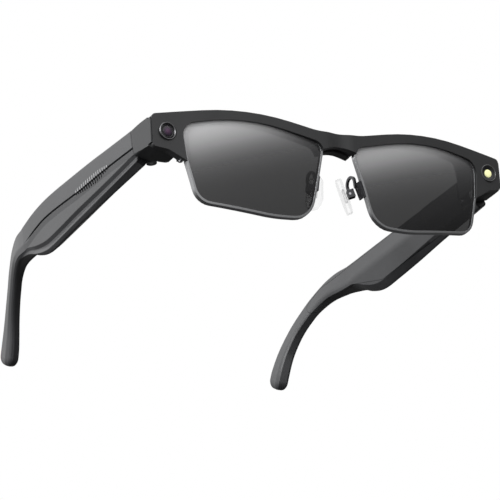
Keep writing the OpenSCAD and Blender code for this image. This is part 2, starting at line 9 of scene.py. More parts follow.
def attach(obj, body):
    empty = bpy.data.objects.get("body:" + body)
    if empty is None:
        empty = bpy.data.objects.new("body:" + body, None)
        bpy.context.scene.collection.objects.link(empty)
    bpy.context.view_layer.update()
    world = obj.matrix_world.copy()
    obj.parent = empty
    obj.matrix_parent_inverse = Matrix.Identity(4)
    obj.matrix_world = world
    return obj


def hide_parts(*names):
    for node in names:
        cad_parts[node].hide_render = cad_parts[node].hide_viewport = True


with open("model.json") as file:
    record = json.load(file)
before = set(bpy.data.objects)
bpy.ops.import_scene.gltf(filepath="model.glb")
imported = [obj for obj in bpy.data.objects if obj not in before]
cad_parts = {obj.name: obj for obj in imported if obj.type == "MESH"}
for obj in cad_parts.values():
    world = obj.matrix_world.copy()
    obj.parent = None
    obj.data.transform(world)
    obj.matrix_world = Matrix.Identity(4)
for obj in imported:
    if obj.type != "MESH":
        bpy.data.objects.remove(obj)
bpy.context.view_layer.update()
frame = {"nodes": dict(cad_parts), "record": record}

MM = 0.001

# The CAD part's own frame: measured back from the camera's front and up from its axis
FRONT_Y = -73.0
CAMERA_Z = 28.4

NODES = frame["nodes"]
BODY_OF = {n: b for b, ns in frame["record"]["behaviour"]["bodies"].items() for n in ns}
SLOT_OF = {s["node"]: s["material_slot"] for s in frame["record"]["subparts"]}

# The camera and the lamp sit the same distance either side of the middle
EYE_X, EYE_Z, EYE_R = 67.5, -0.2, 3.35
# The front's lenses and eyes lean this far back from upright
LEAN = math.radians(6.7)


def place(x, y, z):
    """Point given in the part's working frame, in mm, as a point of the row frame in metres."""
    return Vector((x * MM, (y + FRONT_Y) * MM, (z + CAMERA_Z) * MM))


# ---------------------------------------------------------------- materials

def new_material(name):
    m = bpy.data.materials.new(name)
    m.use_nodes = True
    nt = m.node_tree
    return m, nt, nt.nodes["Principled BSDF"]


def object_coords(nt, scale=(1.0, 1.0, 1.0)):
    tc = nt.nodes.new("ShaderNodeTexCoord")
    mp = nt.nodes.new("ShaderNodeMapping")
    mp.inputs["Scale"].default_value = scale
    nt.links.new(tc.outputs["Object"], mp.inputs["Vector"])
    return mp.outputs["Vector"]


def noise(nt, coords, scale, detail, rough):
    n = nt.nodes.new("ShaderNodeTexNoise")
    n.inputs["Scale"].default_value = scale
    n.inputs["Detail"].default_value = detail
    n.inputs["Roughness"].default_value = rough
    nt.links.new(coords, n.inputs["Vector"])
    return n.outputs["Fac"]


def ramp(nt, fac, stops):
    """Colour for a value, through rows of place and colour."""
    r = nt.nodes.new("ShaderNodeValToRGB")
    e = r.color_ramp.elements
    for end, (pos, col) in ((e[0], stops[0]), (e[1], stops[-1])):
        end.position = pos
        end.color = (*col, 1)
    for pos, col in stops[1:-1]:
        e.new(pos).color = (*col, 1)
    nt.links.new(fac, r.inputs["Fac"])
    return r.outputs["Color"]


def map_range(nt, value, a, b, c, d):
    n = nt.nodes.new("ShaderNodeMapRange")
    for k, v in zip(("From Min", "From Max", "To Min", "To Max"), (a, b, c, d)):
        n.inputs[k].default_value = v
    nt.links.new(value, n.inputs["Value"])
    return n.outputs["Result"]


def bump(nt, bsdf, height, strength, distance):
    b = nt.nodes.new("ShaderNodeBump")
    b.inputs["Strength"].default_value = strength
    b.inputs["Distance"].default_value = distance
    nt.links.new(height, b.inputs["Height"])
    nt.links.new(b.outputs["Normal"], bsdf.inputs["Normal"])


def grained_plastic(name, base, rough, grain=0.25, coat=0.0):
    """Moulded plastic: fine grain in the surface, faint cloudiness in colour and gloss."""
    m, nt, b = new_material(name)
    co = object_coords(nt)
    cloud = noise(nt, co, 55.0, 3.0, 0.5)
    dark = tuple(c * 0.86 for c in base)
    light = tuple(min(1.0, c * 1.16) for c in base)
    nt.links.new(ramp(nt, cloud, [(0.3, dark), (0.7, light)]), b.inputs["Base Color"])
    nt.links.new(map_range(nt, cloud, 0.3, 0.7, rough - 0.03, rough + 0.04), b.inputs["Roughness"])
    bump(nt, b, noise(nt, co, 5200.0, 2.0, 0.5), grain, 0.00002)
    if coat:
        b.inputs["Coat Weight"].default_value = coat
        b.inputs["Coat Roughness"].default_value = 0.12
    return m


def brushed_metal(name, base, rough):
    """Metal with fine lengthwise polishing marks and slightly uneven tone."""
    m, nt, b = new_material(name)
    marks = noise(nt, object_coords(nt, (1.0, 14.0, 14.0)), 900.0, 4.0, 0.6)
    dark = tuple(c * 0.8 for c in base)
    light = tuple(min(1.0, c * 1.12) for c in base)
    nt.links.new(ramp(nt, marks, [(0.3, dark), (0.7, light)]), b.inputs["Base Color"])
    nt.links.new(map_range(nt, marks, 0.2, 0.8, rough * 0.8, rough * 1.3), b.inputs["Roughness"])
    b.inputs["Metallic"].default_value = 1.0
    bump(nt, b, marks, 0.25, 0.00001)
    return m


def lens_material_with_painted_reflection(name):
    """Smoke tint with a painted reflection: the base colour is palest at the top towards the wearer's right
    and nearly black along the bottom.
    """
    m, nt, b = new_material(name)
    tc = nt.nodes.new("ShaderNodeTexCoord")
    mp = nt.nodes.new("ShaderNodeMapping")
    mp.inputs["Rotation"].default_value = (0, math.radians(24), 0)
    nt.links.new(tc.outputs["Generated"], mp.inputs["Vector"])
    sep = nt.nodes.new("ShaderNodeSeparateXYZ")
    nt.links.new(mp.outputs["Vector"], sep.inputs["Vector"])
    height = map_range(nt, sep.outputs["Z"], -0.4, 0.93, 0.0, 1.0)
    haze = noise(nt, object_coords(nt), 30.0, 2.0, 0.5)
    # Painted reflection: the ramp runs from the smoke tint's near black at the bottom to pale grey at the
    # top, in place of a soft light's reflection
    col = ramp(nt, height, [(0.0, (0.008, 0.008, 0.009)), (0.4, (0.014, 0.014, 0.015)),
                            (0.58, (0.07, 0.07, 0.073)), (0.72, (0.3, 0.3, 0.305)),
                            (0.9, (0.95, 0.95, 0.96))])
    col.node.color_ramp.interpolation = "B_SPLINE"
    nt.links.new(col, b.inputs["Base Color"])
    nt.links.new(map_range(nt, haze, 0.3, 0.7, 0.1, 0.14), b.inputs["Roughness"])
    b.inputs["Alpha"].default_value = 0.82
    b.inputs["Coat Weight"].default_value = 0.25
    b.inputs["Coat Roughness"].default_value = 0.08
    b.inputs["IOR"].default_value = 1.4
    return m


def clear_material(name, tint, rough, alpha, edge=0.95):
    """Clear soft plastic or glass, with faint clouds inside and a denser look at its edges."""
    m, nt, b = new_material(name)
    cloud = noise(nt, object_coords(nt), 90.0, 2.0, 0.5)
    light = tuple(min(1.0, c * 1.05) for c in tint)
    nt.links.new(ramp(nt, cloud, [(0.3, tint), (0.7, light)]), b.inputs["Base Color"])
    nt.links.new(map_range(nt, cloud, 0.3, 0.7, rough, rough * 1.6), b.inputs["Roughness"])
    lw = nt.nodes.new("ShaderNodeLayerWeight")
    lw.inputs["Blend"].default_value = 0.25
    nt.links.new(map_range(nt, lw.outputs["Facing"], 0.1, 0.9, alpha, edge), b.inputs["Alpha"])
    b.inputs["IOR"].default_value = 1.42
    return m


def glow_material(name, col, strength):
    """Pale lamp cover, lit faintly from behind and slightly uneven."""
    m, nt, b = new_material(name)
    cloud = noise(nt, object_coords(nt), 2500.0, 3.0, 0.6)
    dark = tuple(c * 0.82 for c in col)
    out = ramp(nt, cloud, [(0.35, dark), (0.65, col)])
    nt.links.new(out, b.inputs["Base Color"])
    nt.links.new(out, b.inputs["Emission Color"])
    b.inputs["Emission Strength"].default_value = strength
    b.inputs["Roughness"].default_value = 0.25
    return m


def iris_material_with_painted_glint(name):
    """Coated camera lens: a painted glint as a small light centre, then a violet ring and a black edge."""
    m, nt, b = new_material(name)
    tc = nt.nodes.new("ShaderNodeTexCoord")
    mp = nt.nodes.new("ShaderNodeMapping")
    mp.inputs["Location"].default_value = -place(-EYE_X, IRIS_DEPTH, EYE_Z)
    nt.links.new(tc.outputs["Object"], mp.inputs["Vector"])
    ln = nt.nodes.new("ShaderNodeVectorMath")
    ln.operation = "LENGTH"
    nt.links.new(mp.outputs["Vector"], ln.inputs[0])
    r = map_range(nt, ln.outputs["Value"], 0.0, 0.0023, 0.0, 1.0)
    # Painted glint: the pale first stops stand in for a light's reflection in the middle of the lens
    col = ramp(nt, r, [(0.0, (0.7, 0.66, 0.7)), (0.08, (0.4, 0.34, 0.4)), (0.16, (0.1, 0.035, 0.1)),
                       (0.4, (0.15, 0.055, 0.14)), (0.6, (0.06, 0.025, 0.07)), (0.85, (0.008, 0.006, 0.01))])
    nt.links.new(col, b.inputs["Base Color"])
    b.inputs["Metallic"].default_value = 0.5
    b.inputs["Roughness"].default_value = 0.12
    b.inputs["Coat Weight"].default_value = 1.0
    b.inputs["Coat Roughness"].default_value = 0.02
    return m


# Depth of the point that the iris's colours are measured from
IRIS_DEPTH = 0.7

MATS = {
    "front_black": grained_plastic("front_black", (0.03, 0.0305, 0.032), 0.36, 0.2, 0.2),
    "rear_black": grained_plastic("rear_black", (0.036, 0.037, 0.039), 0.42, 0.2),
    "temple_black": grained_plastic("temple_black", (0.05, 0.051, 0.054), 0.38, 0.2, 0.15),
    "cover_black": grained_plastic("cover_black", (0.062, 0.063, 0.066), 0.42, 0.22),
    "rim_metal": brushed_metal("rim_metal", (0.46, 0.465, 0.475), 0.22),
    "bridge_metal": brushed_metal("bridge_metal", (0.06, 0.06, 0.065), 0.28),
    "lens_tint": lens_material_with_painted_reflection("lens_tint"),
    "arm_metal": brushed_metal("arm_metal", (0.07, 0.07, 0.075), 0.25),
    "ring_metal": brushed_metal("ring_metal", (0.55, 0.56, 0.58), 0.2),
    "camera_window": clear_material("camera_window", (0.05, 0.04, 0.06), 0.02, 0.06, 0.25),
    "barrel_black": grained_plastic("barrel_black", (0.012, 0.012, 0.014), 0.3, 0.15),
    "iris": iris_material_with_painted_glint("iris"),
    "ring_dark": brushed_metal("ring_dark", (0.17, 0.17, 0.175), 0.22),
    # Light grey plastic for the vent ribs: a painted highlight, far paler than the temple
    "fin": grained_plastic("fin", (0.3, 0.3, 0.305), 0.35, 0.2),
    "board_green": grained_plastic("board_green", (0.02, 0.12, 0.05), 0.35),
    "lamp_diffuser": glow_material("lamp_diffuser", (0.93, 0.93, 0.5), 0.55),
    "flex_film": grained_plastic("flex_film", (0.5, 0.27, 0.1), 0.35),
    "hinge_steel": brushed_metal("hinge_steel", (0.2, 0.205, 0.215), 0.35),
    "screw_steel": brushed_metal("screw_steel", (0.5, 0.5, 0.52), 0.3),
    "silicone": clear_material("silicone", (0.72, 0.73, 0.74), 0.1, 0.04, 0.42),
    "pad_core": clear_material("pad_core", (0.55, 0.55, 0.56), 0.1, 0.12, 0.5),
    "spring_steel": brushed_metal("spring_steel", (0.5, 0.5, 0.52), 0.3),
    "battery_foil": brushed_metal("battery_foil", (0.55, 0.6, 0.66), 0.35),
    "speaker_body": grained_plastic("speaker_body", (0.03, 0.03, 0.035), 0.4),
    "mesh_cloth": grained_plastic("mesh_cloth", (0.012, 0.012, 0.013), 0.8, 0.6),
    "mic_can": brushed_metal("mic_can", (0.6, 0.6, 0.62), 0.3),
    "pin_gold": brushed_metal("pin_gold", (0.75, 0.56, 0.24), 0.22),
    "magnet": brushed_metal("magnet", (0.6, 0.6, 0.62), 0.25),
    "guide_clear": clear_material("guide_clear", (0.8, 0.86, 0.92), 0.08, 0.4),
    "button_black": grained_plastic("button_black", (0.055, 0.056, 0.06), 0.4, 0.2),
    "switch_metal": brushed_metal("switch_metal", (0.6, 0.6, 0.6), 0.3),
}

# ---------------------------------------------------------------- making pieces


def add_object(name, mesh, slot, body, cad_nodes=()):
    """New piece of the visual model, standing in for the CAD nodes named."""
    ob = bpy.data.objects.new(name, mesh)
    bpy.context.scene.collection.objects.link(ob)
    ob.data.materials.clear()
    ob.data.materials.append(MATS[slot])
    if cad_nodes:
        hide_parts(*cad_nodes)
    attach(ob, body)
    return ob


def bevel(ob, width, segments, angle=32):
    """Round the edges by a width in mm, or only smooth the shading at width 0."""
    if width > 0:
        bv = ob.modifiers.new("bevel", "BEVEL")
        bv.width = width * MM
        bv.segments = segments
        bv.limit_method = "ANGLE"
        bv.angle_limit = math.radians(angle)
        bv.use_clamp_overlap = True
        bv.harden_normals = True
        bv.miter_outer = "MITER_ARC"
    for p in ob.data.polygons:
        p.use_smooth = True
    wn = ob.modifiers.new("normals", "WEIGHTED_NORMAL")
    wn.keep_sharp = True
    return ob


def cad_mesh(name):
    """Copy of a CAD node's mesh with its flat triangles joined into whole faces."""
    me = NODES[name].data.copy()
    bm = bmesh.new()
    bm.from_mesh(me)
    bmesh.ops.remove_doubles(bm, verts=bm.verts, dist=0.000002)
    bmesh.ops.dissolve_limit(bm, angle_limit=math.radians(0.6), verts=bm.verts, edges=bm.edges,
                             delimit={"NORMAL"})
    bm.to_mesh(me)
    bm.free()
    return me


def cad_copy(name, width, segments):
    ob = add_object("v_" + name, cad_mesh(name), SLOT_OF[name], BODY_OF[name], [name])
    return bevel(ob, width, segments)


# ---------------------------------------------------------------- temples

def fillet(points, n=4):
    """Closed outline with its corners rounded: rows of X, Z and radius in, n + 1 points a corner out."""
    out = []
    count = len(points)
    for i in range(count):
        a = Vector(points[i - 1][:2])
        b = Vector(points[i][:2])
        c = Vector(points[(i + 1) % count][:2])
        u, v = (a - b), (c - b)
        half = u.angle(v) / 2
        reach = min(points[i][2] / max(math.tan(half), 1e-3), 0.45 * u.length, 0.45 * v.length)
        p, q = b + u.normalized() * reach, b + v.normalized() * reach
        for k in range(n + 1):
            t = k / n
            out.append((1 - t) ** 2 * p + 2 * t * (1 - t) * b + t * t * q)
    return out


def curve(rows, y):
    """Smooth value at y through rows of y and value."""
    if y <= rows[0][0]:
        return rows[0][1]
    for k in range(len(rows) - 1):
        if y <= rows[k + 1][0]:
            y0, a = rows[k]
            y1, b = rows[k + 1]
            ya, pa = rows[max(k - 1, 0)]
            yb, pb = rows[min(k + 2, len(rows) - 1)]
            t = (y - y0) / (y1 - y0)
            m0 = (b - pa) / (y1 - ya) * (y1 - y0)
            m1 = (pb - a) / (yb - y0) * (y1 - y0)
            return ((2 * t ** 3 - 3 * t * t + 1) * a + (t ** 3 - 2 * t * t + t) * m0
                    + (3 * t * t - 2 * t ** 3) * b + (t ** 3 - t * t) * m1)
    return rows[-1][1]


# The temple along its length, in mm: rows of Y (towards the ear) and height
TEMPLE_FRONT, LIP_END, SEAM_SHADE_END = 12.55, 13.2, 13.1
TOP = [(12.5, 5.5), (28.7, 6.7), (44, 7.9), (60, 8.8), (76, 9.5), (86, 9.2), (96, 7.8), (104, 6.6), (112, 6)]
BOTTOM = [(12.5, -8.1), (30, -8.8), (46, -9.5), (60, -10.2), (74, -10.8), (82, -11.0), (87, -10.1),
          (92, -8.1), (97, -5.7), (102, -4.0), (108, -3.2)]
# The lower edge's distance from the middle
BOTTOM_X = [(12.5, 70.8), (30, 71.5), (46, 72.2), (60, 72.7), (100, 72.5)]
GROOVE = [(12.5, -1.4), (28, -0.3), (37, 0.3), (47, 0.6), (57, 1.1), (69, 2.0), (79, 2.5), (85, 2.3),
          (92, 1.3), (100, -0.4)]
CREASE = [(12.5, -4.9), (30, -5.7), (43, -6.1), (59, -6.5), (72, -7.2), (83, -7.4), (91.5, -5.9),
          (98, -3.9), (106, -2.6)]
# Ear tip: rows of X, Y, Z, half width, half height and squareness
HOOK = [
    (71.1, 100, 1.5, 3.55, 4.9, 7), (70.4, 107.2, 2.1, 3.45, 4.8, 5), (68.7, 115.4, 1.5, 3.0, 4.3, 3),
    (66.5, 123.4, -1.2, 2.5, 3.75, 2.6), (64.6, 129.4, -4.8, 2.4, 3.5, 2.5), (63, 134.6, -8.7, 2.4, 3.5, 2.5),
    (61.6, 139.4, -13.4, 2.45, 3.85, 2.5), (60.7, 142.8, -17.5, 2.55, 4.3, 2.5),
    (60.1, 145.9, -21.9, 2.7, 4.75, 2.5), (59.9, 147.8, -24.8, 2.7, 4.9, 2.5)]
# Inner cover from the side (Y, Z and radius) and from above (Y and X)
COVER_SIDE = [(20.6, -7.4, 0.8), (50, -7.8, 9), (80, -8.3, 9), (98, -2.9, 9), (116, -1.9, 9),
              (124.6, -5.2, 2.2), (126.6, -0.9, 2.2), (118, 3.4, 8), (100, 4.6, 9), (20.6, 4.6, 0.8)]
COVER_PLAN = [(20.6, 68.8), (102, 68.8), (107, 68.4), (115, 67.2), (123, 65.5), (128, 64.2)]
INNER_X, LEAF_X, OUTER_X, COVER_FRONT = 67.4, 68.9, 74.8, 20.6
GROOVE_DEPTH, ROLL_X, PANEL_X = 0.75, 73.85, 74.35


def smooth_step(t):
    t = min(max(t, 0.0), 1.0)
    return t * t * (3 - 2 * t)


def smooth_rows(rows, n):
    """Rows of values made finer, n steps for each, by a smooth curve through them."""
    out = []
    for i in range(len(rows) - 1):
        a, b, c, d = rows[max(i - 1, 0)], rows[i], rows[i + 1], rows[min(i + 2, len(rows) - 1)]
        for k in range(n):
            t = k / n
            out.append([(2 * q + (r - p) * t + (2 * p - 5 * q + 4 * r - s) * t * t
                         + (3 * q - p - 3 * r + s) * t ** 3) / 2 for p, q, r, s in zip(a, b, c, d)])
    return out + [list(rows[-1])]


def crisp_section(y):
    """Outline of the temple's straight part at a distance behind the camera, as X and Z."""
    zt, zb, zg, zc = curve(TOP, y), curve(BOTTOM, y), curve(GROOVE, y), curve(CREASE, y)
    xb = curve(BOTTOM_X, y)
    fade = 1 - smooth_step((y - 88) / 12)
    groove_x = OUTER_X - GROOVE_DEPTH * fade
    valley_x = ROLL_X - 0.5 * fade
    low = min(zb + 2.5, -2.2)
    lean = max(0.0, (-1 - low) * 0.3)
    shoulder = min(73.4, 66 + (zt - 4.4) / 0.55)
    inner = [(INNER_X, -1, 9), (INNER_X + lean, low, 0.3)]
    underside = [(xb, zb, 0.8), ((74.5 + xb) / 2 + 0.35, (zb + zc) / 2 - 0.4, 1.2)]
    roll = [(ROLL_X, zc - 1.7, 0.9), (valley_x, zc - 0.2, 0.25), (valley_x + 0.05, zc + 0.15, 0.15)]
    panel = [(PANEL_X, zc + 1.3, 0.5), (PANEL_X, zg - 2.7, 1.2), (OUTER_X - 0.1, zg - 0.75, 0.2)]
    groove = [(groove_x, zg - 0.42, 0.05), (groove_x, zg - 0.1, 0.05), (OUTER_X, zg + 0.02, 0.1)]
    top = [(OUTER_X, zt - 0.75, 0.15), (74.2, zt - 0.1, 0.15), (shoulder, zt, 0.5), (INNER_X, 5.17, 0.5)]
    return fillet(inner + underside + roll + panel + groove + top)


def super_ring(angles, row, fall, along=0.0, size=1.0):
    """Rounded ring of the ear tip, tipped down by fall and pushed along the tip."""
    xc, yc, zc, a, b, n = row
    out = []
    for ang in angles:
        c, d = math.cos(ang), math.sin(ang)
        r = size / (abs(c) ** n + abs(d) ** n) ** (1 / n)
        u, v = a * c * r, b * d * r
        out.append(Vector((xc + u, yc + v * math.sin(fall) + along * math.cos(fall),
                           zc + v * math.cos(fall) - along * math.sin(fall))))
    return out


# Where the crisp section turns to the ear tip's rounded one
BLEND_START, BLEND_LENGTH = 92, 18
TIP_START = 100
# The rounded end of the ear tip: rows of distance along and size
TIP_CAP = [(0.6, 0.985), (1.2, 0.95), (1.8, 0.885), (2.4, 0.79), (2.9, 0.66), (3.25, 0.48), (3.4, 0.25)]


def temple_rings():
    hook_x, hook_z = HOOK[0][0], HOOK[0][2]
    angles = [math.atan2((p.y - hook_z) / 5.0, (p.x - hook_x) / 3.7) for p in crisp_section(TIP_START - 2)]
    hook = smooth_rows(HOOK, 5)
    rings = []
    for y in [TEMPLE_FRONT, 12.75, LIP_END, 14, 15.5] + [17 + 1.5 * k for k in range(56)]:
        crisp = [Vector((p.x, y, p.y)) for p in crisp_section(y)]
        if y > BLEND_START:
            soft = super_ring(angles, [hook_x, y, hook_z, 3.6, 5.0, 7], 0)
            w = smooth_step((y - BLEND_START) / BLEND_LENGTH)
            crisp = [a.lerp(b, w) for a, b in zip(crisp, soft)]
        inset = 1 - 0.05 * max(0.0, (LIP_END - y) / (LIP_END - TEMPLE_FRONT))
        rings.append([Vector((71 + (p.x - 71) * inset, p.y, (p.z + 1) * inset - 1)) for p in crisp])
    last = len(hook) - 1
    for i, row in enumerate(hook):
        a, b = hook[max(i - 1, 0)], hook[min(i + 1, last)]
        fall = 0 if i == 0 else math.atan2(a[2] - b[2], b[1] - a[1])
        ring = super_ring(angles, row, fall)
        w = smooth_step((row[1] - BLEND_START) / BLEND_LENGTH)
        if w < 1:
            crisp = [Vector((p.x + row[0] - hook_x, row[1], p.y)) for p in crisp_section(row[1])]
            ring = [p.lerp(q, w) for p, q in zip(crisp, ring)]
        rings.append(ring)
    for along, size in TIP_CAP:
        rings.append(super_ring(angles, hook[-1], fall, along, size))
    return rings


def skin(rings, mirror):
    """Closed mesh over a row of rings."""
    bm = bmesh.new()
    rows = []
    for ring in rings:
        rows.append([bm.verts.new(place(-p.x if mirror else p.x, p.y, p.z)) for p in ring])
    n = len(rows[0])
    for r0, r1 in zip(rows, rows[1:]):
        for k in range(n):
            bm.faces.new((r0[k], r0[(k + 1) % n], r1[(k + 1) % n], r1[k]))
    bm.faces.new(rows[0])
    bm.faces.new(list(reversed(rows[-1])))
    bmesh.ops.recalc_face_normals(bm, faces=bm.faces)
    return to_mesh(bm, "skin")


def box_mesh(lo, hi, mirror):
    """Box between two corners in the working frame."""
    bm = bmesh.new()
    bmesh.ops.create_cube(bm, size=1.0)
    for v in bm.verts:
        p = [(lo[i] + hi[i]) / 2 + v.co[i] * (hi[i] - lo[i]) for i in range(3)]
        v.co = place(-p[0] if mirror else p[0], p[1], p[2])
    bmesh.ops.recalc_face_normals(bm, faces=bm.faces)
    return to_mesh(bm, "box")


def to_mesh(bm, name):
    me = bpy.data.meshes.new(name)
    bm.to_mesh(me)
    bm.free()
    return me


def join(meshes):
    bm = bmesh.new()
    for me in meshes:
        bm.from_mesh(me)
        bpy.data.meshes.remove(me)
    return to_mesh(bm, "joined")


def combine(mesh, other, operation):
    """Mesh with another taken away from it, or the part they share."""
    a = bpy.data.objects.new("cut_a", mesh)
    b = bpy.data.objects.new("cut_b", other)
    for o in (a, b):
        bpy.context.scene.collection.objects.link(o)
    mod = a.modifiers.new("cut", "BOOLEAN")
    mod.operation = operation
    mod.solver = "EXACT"
    mod.object = b
    dg = bpy.context.evaluated_depsgraph_get()
    out = bpy.data.meshes.new_from_object(a.evaluated_get(dg))
    for o in (a, b):
        bpy.data.objects.remove(o)
    return out


def cover_space(mirror, gap):
    """Space of the inner cover: a side outline and a band along the temple's inner side."""
    rings = []
    for y in [COVER_FRONT - gap] + [24 + 4 * k for k in range(26)] + [127.6]:
        x = curve(COVER_PLAN, y) + gap
        lean = 1 - smooth_step((y - 88) / 14)
        rings.append([Vector((p[0], y, p[1])) for p in (
            (x - 12, 14), (x, 14), (x, -1), (x + 2.1 * lean, -8), (x + 2.1 * lean, -14), (x - 12, -14))])
    band = skin(rings, mirror)
    outline = fillet(COVER_SIDE, 6)
    side = []
    for k, p in enumerate(outline):
        ahead, behind = outline[(k + 1) % len(outline)], outline[k - 1]
        run = (ahead - behind).normalized()
        side.append(p + Vector((run.y, -run.x)) * gap)
    prism = skin([[Vector((x, p.x, p.y)) for p in side] for x in (50, 80)], mirror)
    return combine(band, prism, "INTERSECT")


SLIT_COUNT, SLIT_START, SLIT_PITCH = 16, 32.2, 1.6
SLIT_HALF, FIN_HALF = 0.42, 0.36


def slit_reach(i):
    """Reach of a slit, longest in the middle of the row."""
    return 0.3 + 1.0 * math.sin(math.pi * (i + 0.5) / SLIT_COUNT) ** 0.8


def slit_boxes(mirror):
    parts = []
    for i in range(SLIT_COUNT):
        y = SLIT_START + SLIT_PITCH * i
        mid = curve(GROOVE, y)
        low = mid - 1.2 * slit_reach(i) - 0.5
        parts.append(box_mesh((73.2, y - SLIT_HALF, low), (75.5, y + SLIT_HALF, mid - 0.1), mirror))
    return parts


def painted_highlight_fins(side):
    """Raised ribs above the slits, coloured light grey as a painted highlight."""
    mirror = side == "right"
    parts = []
    for i in range(SLIT_COUNT):
        y = SLIT_START + SLIT_PITCH * (i - 0.05)
        mid = curve(GROOVE, y)
        high = mid + 0.3 + 0.95 * slit_reach(i)
        parts.append(box_mesh((74.3, y - FIN_HALF, mid - 0.25), (75.0, y + FIN_HALF, high), mirror))
    ob = add_object("v_vent_fins_" + side, join(parts), "temple_black", "temple_" + side)
    # Painted highlight: the ribs take the light grey plastic in place of the light they catch
    ob.data.materials[0] = MATS["fin"]
    bevel(ob, 0.18, 2, 40)


BUTTON_HOLE = (69.85, 39.85, 4.6), (73.15, 48.15, 14)
COVER_GAP = 0.12


def make_temple(side):
    """Outer shell and inner cover cut from one shape, so that they meet all round."""
    mirror = side == "right"
    whole = skin(temple_rings(), mirror)
    leaf_space = box_mesh((60, 10, -20), (LEAF_X, COVER_FRONT, 20), mirror)
    shell = combine(whole.copy(), join(slit_boxes(mirror) + [leaf_space]), "DIFFERENCE")
    shell = combine(shell, box_mesh(*BUTTON_HOLE, mirror), "DIFFERENCE")
    shell = combine(shell, cover_space(mirror, COVER_GAP), "DIFFERENCE")
    name = "temple_shell_" + side
    ob = add_object("v_" + name, shell, "temple_black", BODY_OF[name], [name])
    # Painted shade: the front lip takes the near-black barrel material, so that the seam to the end block
    # shows as a dark line
    ob.data.materials.append(MATS["barrel_black"])
    for face in ob.data.polygons:
        if face.center.y < place(0, SEAM_SHADE_END, 0).y:
            face.material_index = 1
    bevel(ob, 0.1, 2, 40)
    cover = combine(whole, cover_space(mirror, 0.0), "INTERSECT")
    name = "inner_cover_" + side
    ob = add_object("v_" + name, cover, "cover_black", BODY_OF[name], [name])
    bevel(ob, 0.22, 3, 40)
    painted_highlight_fins(side)


for SIDE in ("right", "left"):
    make_temple(SIDE)

# ---------------------------------------------------------------- front

HOLLOW_MIDDLE, HOLLOW_HALF, HOLLOW_DEPTH = 0.3, 6.0, 0.8


def press_bridge(mesh):
    """Front face of the bridge, pressed in to a soft hollow."""
    bm = bmesh.new()
    bm.from_mesh(mesh)
    for k in range(-15, 16):
        cut_at = place(HOLLOW_MIDDLE + k * 0.5, 0, 0)
        bmesh.ops.bisect_plane(bm, geom=bm.verts[:] + bm.edges[:] + bm.faces[:], plane_co=cut_at,
                               plane_no=(1, 0, 0), dist=1e-7)
    bm.normal_update()
    shift = {}
    for v in bm.verts:
        x = v.co.x / MM - HOLLOW_MIDDLE
        if abs(x) < HOLLOW_HALF and any(f.normal.y < -0.8 for f in v.link_faces):
            shift[v] = HOLLOW_DEPTH * MM * math.cos(math.pi * x / HOLLOW_HALF / 2) ** 2
    for v, d in shift.items():
        v.co.y += d
    bm.to_mesh(mesh)
    bm.free()


def lathe(name, profile, side, slot, cad_nodes=(), material=None):
    """Turned piece on the camera's or lamp's axis: rows of radius and depth behind the face, in mm.

    A profile that ends within 1 mm of the axis is closed by caps, and any other one on itself.
    """
    steps = 72
    bm = bmesh.new()
    eye = Vector((-EYE_X if side == "right" else EYE_X, 0, EYE_Z))
    tilt = Matrix.Rotation(LEAN, 3, "X")
    rings = []
    for r, d in profile:
        ring = []
        for k in range(steps):
            ang = 2 * math.pi * k / steps
            p = tilt @ Vector((r * math.cos(ang), d, r * math.sin(ang))) + eye
            ring.append(bm.verts.new(place(*p)))
        rings.append(ring)
    pairs = list(zip(rings, rings[1:]))
    hollow = profile[-1][0] > 1
    if hollow:
        pairs.append((rings[-1], rings[0]))
    for r0, r1 in pairs:
        for k in range(steps):
            bm.faces.new((r0[k], r0[(k + 1) % steps], r1[(k + 1) % steps], r1[k]))
    if not hollow:
        bm.faces.new(rings[0])
        bm.faces.new(rings[-1])
    bmesh.ops.recalc_face_normals(bm, faces=bm.faces)
    ob = add_object(name, to_mesh(bm, name), slot, "front", cad_nodes)
    if material:
        ob.data.materials[0] = MATS[material]
    return bevel(ob, 0.07, 2, 30)


# Outline of the lens: rows of X, Z and radius
LENS_OUTLINE = [(62.5, 4.0, 5.5), (38, 8.4, 80), (5.5, 1.2, 4.5), (13.2, -28.1, 9.3), (28, -28.6, 60),
                (57.3, -24.9, 7), (61.1, -9.5, 30)]
LENS_R, LENS_T, LENS_INSET = 260, 1.4, 0.5
LENS_X, LENS_Z, LENS_FRONT = 34, -11, -2.1
LENS_WRAP = math.radians(4)


def arc_outline(points):
    """Closed outline with true round corners: rows of X, Z and radius."""
    n = 10
    out = []
    for i, (x, z, r) in enumerate(points):
        b = Vector((x, z))
        u = (Vector(points[i - 1][:2]) - b).normalized()
        v = (Vector(points[(i + 1) % len(points)][:2]) - b).normalized()
        half = u.angle(v) / 2
        reach = r / math.tan(half)
        centre = b + (u + v).normalized() * (r / math.sin(half))
        p, q = b + u * reach - centre, b + v * reach - centre
        for k in range(n + 1):
            w = p.slerp(q, k / n, p)
            out.append(centre + w.normalized() * r)
    return out


def resampled(points, count):
    """The same closed outline with its points evenly spaced."""
    runs = [(points[(i + 1) % len(points)] - p).length for i, p in enumerate(points)]
    total = sum(runs)
    out = []
    i, gone = 0, 0.0
    for k in range(count):
        want = total * k / count
        while gone + runs[i] < want:
            gone += runs[i]
            i += 1
        out.append(points[i].lerp(points[(i + 1) % len(points)], (want - gone) / runs[i]))
    return out


